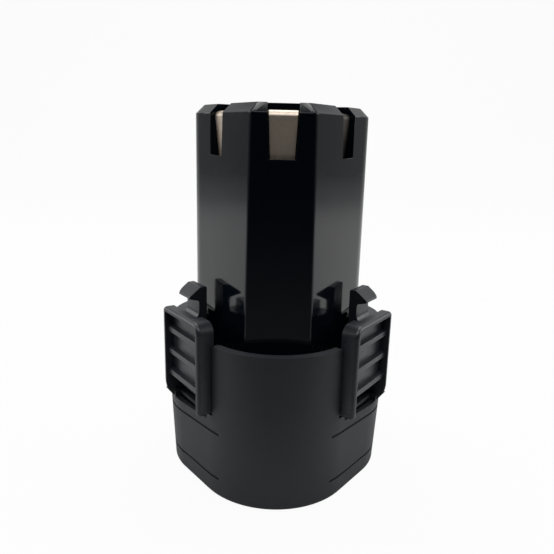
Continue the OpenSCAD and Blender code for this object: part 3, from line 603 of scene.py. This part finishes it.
def buildCup():
    c = cup
    profile = rounded([(0, -c["foot"] - 1), (0, 0), (c["grooveHeights"][1] - 1, 0)], c["foot"], 8,
                      openLine=True)
    profile += [(c["leanTop"], 0), (c["top"], 0)]
    rings = [[(x, y, z) for x, y in outline(cupAt(z + 0.001), grow, c["steps"])] for z, grow in profile]
    body = loft("cupBody", rings)
    inner = risen("cupHollow", cupCircles, [(c["floor"], -c["wall"]), (c["top"] + 2, -c["wall"])], c["steps"])
    combined(body, "DIFFERENCE", inner)
    # Hinge lugs: blocks at both sides of each latch, kept inside the wall
    lugs = prism("lugs", outline(cupCircles, -c["wall"] / 2, c["steps"]), c["floor"], c["top"])
    blocks = []
    lowest, highest = hinge["height"] - c["lugHalf"], hinge["height"] + c["lugHalf"]
    for mirror in (False, True):
        for low in (-c["notchHalf"] - c["lugDepth"], c["notchHalf"]):
            high = low + c["lugDepth"]
            corners = [(c["lugIn"], low), (c["lugOut"], low), (c["lugOut"], high), (c["lugIn"], high)]
            blocks.append(atLatch(prism("lugBlock", corners, lowest, highest), mirror))
    group = combined(blocks[0], "UNION", *blocks[1:])
    combined(lugs, "INTERSECT", group)
    combined(body, "UNION", lugs)
    for x, y in screwPlaces:
        base = prism("screwBase", disc(screws["base"], x, y, 48), screws["postFoot"], screws["baseTop"])
        post = prism("screwPost", disc(screws["post"], x, y, 48), screws["postFoot"], screws["postTop"])
        combined(body, "UNION", base, post)
    for mirror in (False, True):
        notch = prism("notch", oblong(c["notchIn"], c["outside"], c["notchHalf"]), c["notchFoot"], 60)
        under = oblong(c["gripNotchIn"], c["outside"], c["gripNotchHalf"])
        deeper = prism("deeper", under, c["gripNotch"], 25)
        bore = prism("hingeBore", disc(hinge["bore"], hinge["out"], hinge["height"]),
                     -hinge["boreHalf"], hinge["boreHalf"], "y")
        combined(body, "DIFFERENCE", atLatch(notch, mirror), atLatch(deeper, mirror), atLatch(bore, mirror))
        # Under the grip the wall is thinned from inside, down to a lip
        inward = outline(cupCircles, -c["gripLip"], c["steps"])
        thinned = prism("thinned", inward, c["thinFoot"], c["gripNotch"] + 0.5)
        room = prism("room", oblong(18, c["outside"], c["gripNotchHalf"]), 5, 25)
        combined(body, "DIFFERENCE", combined(thinned, "INTERSECT", atLatch(room, mirror)))
        combined(body, "UNION", atLatch(prism("lip", cupLip["section"], *cupLip["ends"], "y"), mirror))
    for height in c["grooveHeights"]:
        for mirror in (False, True):
            around = cupAt(height)
            half = c["grooveWidth"] / 2
            band = prism("band", outline(around, 1.0, c["steps"]), height - half, height + half)
            core = prism("core", outline(around, -c["groove"], c["steps"]), height - 1, height + 1)
            combined(band, "DIFFERENCE", core)
            part = prism("part", oblong(8, 40, c["grooveHalf"]), height - 1, height + 1)
            combined(band, "INTERSECT", atLatch(part, mirror))
            combined(body, "DIFFERENCE", band)
    for x, y in screwPlaces:
        head = prism("headCut", disc(screws["recessRadius"], x, y, 48), -1, screws["recess"])
        shank = prism("shankCut", disc(screws["hole"], x, y, 48), -1, 12)
        combined(body, "DIFFERENCE", head, shank)
    return finished(body, "cup", "case", "cup_shell")


# Points on a quarter circle every 9 degrees. A sign of -1 turns the quarter over to the other side.
def quarter(x, y, radius, across=1, along=1):
    return [(x + across * radius * math.cos(math.radians(9 * k)),
             y + along * radius * math.sin(math.radians(9 * k))) for k in range(11)]


# The neck, web and catch of a hook, drawn flat in X and Z and given their thickness along Y
def buildHook():
    l, h = latch, hook
    middle = (h["out"] + h["saddleRadius"], h["saddle"] + h["saddleRadius"])
    saddle = quarter(*middle, h["saddleRadius"], -1, -1)
    root = l["in"] + l["root"]
    section = ([(h["in"] + h["webBevel"], h["web"]), (root, h["web"]), (root, h["saddle"])] + saddle[::-1]
               + [(h["out"], h["catch"] - h["catchLip"]), (h["catchTip"], h["catch"]),
                  (h["in"] + h["ridge"], h["top"]), (h["in"], h["top"]), (h["in"], h["web"] + h["webBevel"])])
    corners = [0] * (3 + len(saddle)) + [*h["rounds"], 0]
    made = prism("hook", rounded(section, corners, 4), h["near"], h["far"], "y")
    size = h["catchCorner"]
    centre = (h["catchTip"] - size, h["far"] - size)
    beyond = [(centre[0], h["far"] + 2), (h["catchTip"] + 2, h["far"] + 2), (h["catchTip"] + 2, centre[1])]
    trim = prism("trim", quarter(*centre, size) + beyond, h["saddle"] + h["cornerRise"], 60)
    combined(made, "DIFFERENCE", trim)
    return softened(made, h["soft"], limit=40, steps=3,
                    chosen=lambda e: min(v.co.z for v in e.verts) > h["saddle"] - 0.5)


def buildLatch(side):
    l, h = latch, hook
    mirror = side == "left"
    circles = [(-l["half"] + l["nearFoot"], l["foot"] + l["nearFoot"], l["nearFoot"]),
               (l["half"] - l["farFoot"], l["foot"] + l["farFoot"], l["farFoot"]),
               (l["half"] - l["farTop"], l["top"] - l["farTop"], l["farTop"]),
               (-l["half"] + l["nearTop"], l["top"] - l["nearTop"], l["nearTop"])]
    profile = rounded([(l["in"], 0), (l["out"], 0), (l["out"], -l["edgeReach"])], l["edge"], 5, openLine=True)
    rings = [[(x, y, z) for y, z in outline(circles, grow, 10)] for x, grow in profile]
    body = loft(side + "LatchBody", rings)
    # The grip is open outwards and downwards, so its cut ends well outside the latch there
    outside, under, behind = 30, 19, l["in"] - 1
    grip = [(outside, under), (behind, under), (behind, l["gripFoot"]), (l["gripFloor"], l["gripFoot"]),
            (l["gripFloor"], l["gripTop"]), (outside, l["gripTop"])]
    combined(body, "DIFFERENCE", prism("grip", grip, -l["gripHalf"], l["gripHalf"], "y"))
    pocket = rounded([(20, h["pocketNear"]), (h["pocketOut"], h["pocketNear"]), (h["pocketOut"], 20),
                      (20, 20)], [0, h["pocketCorner"], 0, 0], 6)
    combined(body, "DIFFERENCE", prism("pocket", pocket, h["saddle"], 80))
    combined(body, "UNION", buildHook())
    root, low, high = l["in"] + l["root"], hinge["height"] - l["legFoot"], hinge["height"] + l["legTop"]
    leg = [(hinge["out"], low), (root, low), (root, high), (l["in"], high), l["legBack"]]
    for near, far in ((-l["half"], -l["gripHalf"]), (l["gripHalf"], l["half"])):
        combined(body, "UNION", prism("leg", leg, near, far, "y"))
    rod = disc(hinge["barrel"], hinge["out"], hinge["height"], 48)
    post = disc(spring["post"], spring["aside"], spring["height"])
    combined(body, "UNION", prism("barrel", rod, -l["half"], l["half"], "y"),
             prism("springPost", post, *spring["latchPost"], "x"))
    bore = disc(hinge["bore"], hinge["out"], hinge["height"], 48)
    combined(body, "DIFFERENCE", prism("pinBore", bore, -20, 20, "y"))
    softened(body, l["soft"], limit=40, chosen=lambda e: min(v.co.x for v in e.verts) > l["in"] + 0.1
             or min(v.co.z for v in e.verts) > h["saddle"] - 0.2)
    atLatch(body, mirror)
    return finished(body, "latch", side + "_latch", "latch_" + side)


contact = {"low": 1.8, "high": 1.1, "foot": 73.4, "bendHeight": 85.5, "bend": 1.3, "thick": 0.5, "tail": 84.0,
           "play": 0.2, "soft": 0.06}


# A strip bent over at its top, drawn in X and Z and as wide as its slot less the play
def buildContact(which):
    c = contact
    middle = -c["high"] - c["bend"]

    def bent(radius, angles):
        return [(middle + radius * math.cos(math.radians(a)),
                 c["bendHeight"] + radius * math.sin(math.radians(a))) for a in angles]

    behind = -c["low"] - c["thick"]
    section = [(-c["low"], c["foot"]), (-c["low"], slots["foot"]), (-c["high"], c["bendHeight"])]
    section += bent(c["bend"], range(10, 181, 10))
    section += [(middle - c["bend"], c["tail"]), (middle - c["bend"] + c["thick"], c["tail"])]
    section += bent(c["bend"] - c["thick"], range(180, -1, -10))
    section += [(behind, slots["foot"]), (behind, c["foot"])]
    count = len(section)
    points = [(x, side * (slotHalf(z) - c["play"]), z) for side in (-1, 1) for x, z in section]
    faces = [(k, (k + 1) % count, count + (k + 1) % count, count + k) for k in range(count)]
    faces += [tuple(reversed(range(count))), tuple(range(count, 2 * count))]
    piece = softened(newPiece(which + "Contact", points, faces), c["soft"], limit=50)
    atSlot(piece, which)
    return finished(piece, "contact", "case", "contact_" + which)


buildTower()
print("stage: tower")
buildCup()
print("stage: cup")
for side in ("left", "right"):
    buildLatch(side)
print("stage: latches")
for which in ("front", "left", "right"):
    buildContact(which)
print("stage: contacts")


# Geometry Nodes: a small tree maker, with the same kind of call for each node
def newTree(name, inputs):
    tree = bpy.data.node_groups.new(name, "GeometryNodeTree")
    tree.is_modifier = True
    tree.interface.new_socket("Geometry", in_out="INPUT", socket_type="NodeSocketGeometry")
    for label, (kind, value) in inputs.items():
        socket = tree.interface.new_socket(label, in_out="INPUT", socket_type="NodeSocket" + kind)
        if value is not None:
            socket.default_value = value
    tree.interface.new_socket("Geometry", in_out="OUTPUT", socket_type="NodeSocketGeometry")
    given = tree.nodes.new("NodeGroupInput")

    def add(kind, settings=None, values=None):
        made = tree.nodes.new(kind)
        for label, value in (settings or {}).items():
            setattr(made, label, value)
        for label, value in (values or {}).items():
            if isinstance(value, bpy.types.NodeSocket):
                tree.links.new(value, made.inputs[label])
            else:
                made.inputs[label].default_value = value
        return made.outputs

    def done(geometry):
        solid = add("GeometryNodeRealizeInstances", {}, {"Geometry": geometry})["Geometry"]
        coated = add("GeometryNodeSetMaterial", {},
                     {"Geometry": solid, "Material": given.outputs["Material"]})
        last = tree.nodes.new("NodeGroupOutput")
        tree.links.new(coated["Geometry"], last.inputs["Geometry"])
        return tree

    return given.outputs, add, done


# Gives a new piece the tree's result as its mesh
def grown(name, tree, values):
    piece = bpy.data.objects.new(name, bpy.data.meshes.new(name))
    bpy.context.scene.collection.objects.link(piece)
    modifier = piece.modifiers.new(name, "NODES")
    modifier.node_group = tree
    for item in tree.interface.items_tree:
        if item.in_out == "INPUT" and item.name in values:
            modifier[item.identifier] = values[item.name]
    return baked(piece)


def springTree():
    given, add, done = newTree("wound spring", {
        "Turns": ("Float", spring["turns"]), "Coil Radius": ("Float", spring["radius"]),
        "Length": ("Float", spring["end"] - spring["start"]), "Wire Radius": ("Float", spring["wire"]),
        "Material": ("Material", None)})
    coil = add("GeometryNodeCurveSpiral", {}, {
        "Resolution": 40, "Rotations": given["Turns"], "Start Radius": given["Coil Radius"],
        "End Radius": given["Coil Radius"], "Height": given["Length"]})["Curve"]
    wire = add("GeometryNodeCurvePrimitiveCircle", {}, {
        "Resolution": 12, "Radius": given["Wire Radius"]})["Curve"]
    swept = add("GeometryNodeCurveToMesh", {}, {
        "Curve": coil, "Profile Curve": wire, "Fill Caps": True})["Mesh"]
    return done(swept)


ribs = {"count": 3, "pitch": 5.45, "firstTop": 26.3, "crest": 26.5, "rise": 0.4, "flat": 1.2, "fall": 0.4,
        "half": 7.8, "sunk": 0.2, "edge": 0.15}


def ribTree():
    given, add, done = newTree("grip ribs", {
        "Rib": ("Object", None), "Count": ("Int", ribs["count"]), "Pitch": ("Float", ribs["pitch"]),
        "Material": ("Material", None)})
    step = add("ShaderNodeCombineXYZ", {}, {"Z": given["Pitch"]})["Vector"]
    line = add("GeometryNodeMeshLine", {"mode": "OFFSET"}, {"Count": given["Count"], "Offset": step})["Mesh"]
    shape = add("GeometryNodeObjectInfo", {}, {"Object": given["Rib"]})["Geometry"]
    put = add("GeometryNodeInstanceOnPoints", {}, {"Points": line, "Instance": shape})["Instances"]
    return done(put)


def screwTree():
    given, add, done = newTree("case screws", {
        "Screw": ("Object", None), "Material": ("Material", None),
        "Half Width Front": ("Float", screws["halfWidthFront"]), "Front": ("Float", screws["front"]),
        "Half Width Back": ("Float", screws["halfWidthBack"]), "Back": ("Float", screws["back"])})
    shape = add("GeometryNodeObjectInfo", {}, {"Object": given["Screw"]})["Geometry"]
    gathered = add("GeometryNodeJoinGeometry")
    joiner = gathered["Geometry"].node
    for wide, deep in (("Half Width Front", "Front"), ("Half Width Back", "Back")):
        for sign in (-1, 1):
            across = add("ShaderNodeMath", {"operation": "MULTIPLY"}, {0: given[wide], 1: sign})["Value"]
            spot = add("ShaderNodeCombineXYZ", {}, {"X": across, "Y": given[deep]})["Vector"]
            point = add("GeometryNodePoints", {}, {"Count": 1, "Position": spot})["Points"]
            put = add("GeometryNodeInstanceOnPoints", {}, {"Points": point, "Instance": shape})["Instances"]
            joiner.id_data.links.new(put, joiner.inputs["Geometry"])
    return done(gathered["Geometry"])


def buildSprings():
    tree = springTree()
    for side in ("left", "right"):
        piece = grown(side + "Spring", tree, {
            "Turns": spring["turns"], "Coil Radius": spring["radius"],
            "Length": spring["end"] - spring["start"], "Wire Radius": spring["wire"],
            "Material": materials["steel"]})
        piece.data.transform(Matrix.Rotation(math.radians(90), 4, "Y"))
        piece.data.transform(Matrix.Translation((spring["start"], spring["aside"], spring["height"])))
        atLatch(piece, side == "left")
        finished(piece, "steel", "case", "latch_spring_" + side)
        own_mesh(piece)


def buildRibs():
    r = ribs
    low, floor = r["firstTop"], latch["gripFloor"]
    top, foot = low + r["rise"], low - r["flat"] - r["fall"]
    section = [(floor - r["sunk"], top), (floor, top), (r["crest"], low), (r["crest"], low - r["flat"]),
               (floor, foot), (floor - r["sunk"], foot)]
    one = prism("oneRib", rounded(section, [0, 0, r["edge"], r["edge"], 0, 0], 3), -r["half"], r["half"], "y")
    tree = ribTree()
    for side in ("left", "right"):
        piece = grown(side + "LatchRibs", tree, {
            "Rib": one, "Count": r["count"], "Pitch": r["pitch"], "Material": materials["latch"]})
        atLatch(piece, side == "left")
        finished(piece, "latch", side + "_latch")
    bpy.data.objects.remove(one)


def buildScrews():
    s = screws
    low = s["recess"] - s["headHeight"]
    end = s["recess"] + s["length"]
    # Radius and height, from the middle of the head to the tip
    edge, corner = s["headEdge"], s["headCorner"]
    profile = [(0.05, low), (s["head"] - edge, low), (s["head"] - corner, low + corner),
               (s["head"], low + edge), (s["head"], s["recess"]), (s["shank"], s["recess"]),
               (s["shank"], end - s["tipLength"]), (s["tip"], end)]
    one = loft("oneScrew", [[(x, y, z) for x, y in disc(radius, 0, 0, 40)] for radius, z in profile])
    for turn in (0, 90):
        bar = prism("driveCut", oblong(-s["driveHalf"], s["driveHalf"], s["driveThick"]),
                    low - 1, low + s["driveDepth"])
        combined(one, "DIFFERENCE", moved(bar, math.radians(turn)))
    softened(one, s["soft"], limit=50)
    piece = grown("caseScrews", screwTree(), {
        "Screw": one, "Half Width Front": s["halfWidthFront"], "Front": s["front"],
        "Half Width Back": s["halfWidthBack"], "Back": s["back"], "Material": materials["steel"]})
    bpy.data.objects.remove(one)
    finished(piece, "steel", "case", "case_screws")


buildSprings()
buildRibs()
buildScrews()
print("stage: springs, ribs and screws")


# What stays inside keeps its CAD shape and takes a finish
inside = {
    "latch_pin_left": "steel", "latch_pin_right": "steel", "cell_front": "cell_can",
    "cell_rear_left": "cell_can", "cell_rear_right": "cell_can", "cell_insulators": "insulator",
    "cell_holder_lower": "holder", "cell_holder_upper": "holder", "foam_pad": "foam",
    "strip_lower_link": "strip", "strip_upper_link": "strip", "strip_positive": "strip",
    "strip_negative": "strip", "circuit_board": "board", "contact_carrier": "carrier", "thermistor": "sensor",
}
for name, slot in inside.items():
    nodes[name].data.materials.clear()
    nodes[name].data.materials.append(materials[slot])
print("stage: inner pieces")


# The studio, in metres: a pale table that sweeps up behind, with soft lamps overhead, in front and beside
studio = {
    "tableFront": -0.062, "tableHalf": 0.9, "sweepStart": 0.65, "sweepRadius": 0.3, "sweepTop": 0.42,
    "paper": 0.52, "whiteSeen": 0.95, "whiteMirrored": 0.05,
    "around": 0.24, "front": 0.012, "below": 0.27, "above": 0.3,
}
# Place, target, width, height and power of each lamp
lamps = {
    "overhead": ((0.0, 0.4, 0.75), (0, 0.3, 0.05), 0.78, 0.78, 5.6),
    "frontTop": ((0.0, -0.5, 0.75), (0, 0, 0.03), 0.7, 0.5, 3.4),
    "leftSide": ((-0.46, 0.04, 0.25), (0, 0, 0.03), 0.46, 0.3, 1.15),
    "rightSide": ((0.46, 0.04, 0.25), (0, 0, 0.03), 0.46, 0.3, 1.15),
}


def addLamp(name, place, target, width, height, power):
    data = bpy.data.lights.new(name, "AREA")
    data.shape = "RECTANGLE"
    data.size = width
    data.size_y = height
    data.energy = power
    lamp = bpy.data.objects.new(name, data)
    bpy.context.scene.collection.objects.link(lamp)
    lamp.location = place
    lamp.rotation_euler = (Vector(target) - Vector(place)).to_track_quat("-Z", "Y").to_euler()
    lamp.visible_camera = False


def addTable():
    radius = studio["sweepRadius"]
    section = [(studio["tableFront"], 0), (studio["sweepStart"], 0)]
    section += [(studio["sweepStart"] + radius * math.sin(math.radians(5 * k)),
                 radius - radius * math.cos(math.radians(5 * k))) for k in range(1, 19)]
    section.append((studio["sweepStart"] + radius, studio["sweepTop"]))
    count = len(section)
    points = [(x, y, z) for x in (-studio["tableHalf"], studio["tableHalf"]) for y, z in section]
    table = newPiece("table", points, [(k, count + k, count + k + 1, k + 1) for k in range(count - 1)])
    for face in table.data.polygons:
        face.use_smooth = True
    material = bpy.data.materials.new("white_table")
    material.use_nodes = True
    material.node_tree.nodes.clear()
    start = Wire(material.node_tree)
    seen = start.node("ShaderNodeLightPath", output="Is Camera Ray")
    mirrored = start.node("ShaderNodeLightPath", output="Is Glossy Ray")
    through = start.node("ShaderNodeLightPath", output="Is Transmission Ray")
    paper = start.node("ShaderNodeBsdfDiffuse", {}, {"Color": rgb(studio["paper"])})
    white = start.node("ShaderNodeEmission", {}, {"Color": rgb(1.0), "Strength": 1.0})
    share = (seen + through) * studio["whiteSeen"] + mirrored * studio["whiteMirrored"]
    mixed = start.node("ShaderNodeMixShader", {}, {0: share, 1: paper, 2: white})
    start.node("ShaderNodeOutputMaterial", {}, {"Surface": mixed})
    table.data.materials.append(material)


# What the object mirrors: dark in front, paler behind, below and high at the back; the camera sees white
def addWorld():
    world = bpy.data.worlds.new("studio")
    bpy.context.scene.world = world
    world.use_nodes = True
    world.node_tree.nodes.clear()
    air = Wire(world.node_tree)
    seen = air.node("ShaderNodeLightPath", output="Is Camera Ray")
    direction = air.node("ShaderNodeTexCoord", output="Generated")
    back = air.node("ShaderNodeSeparateXYZ", {}, {"Vector": direction}, "Y")
    height = air.node("ShaderNodeSeparateXYZ", {}, {"Vector": direction}, "Z")
    behind = back.clipped(-0.7, 0.1) * studio["around"]
    below = (0 - height).clipped(0.08, 0.5) * studio["below"]
    above = back.clipped(0.0, 0.45) * height.clipped(0.1, 0.45) * studio["above"]
    level = behind + below + above + studio["front"]
    ambient = air.node("ShaderNodeBackground", {}, {"Color": level, "Strength": 1.0})
    paper = air.node("ShaderNodeBackground", {}, {"Color": rgb(1.0), "Strength": 1.0})
    both = air.node("ShaderNodeMixShader", {}, {0: seen, 1: ambient, 2: paper})
    air.node("ShaderNodeOutputWorld", {}, {"Surface": both})


addTable()
for name, settings in lamps.items():
    addLamp(name, *settings)
addWorld()
bpy.context.scene.view_settings.view_transform = "Standard"
print("stage: studio")
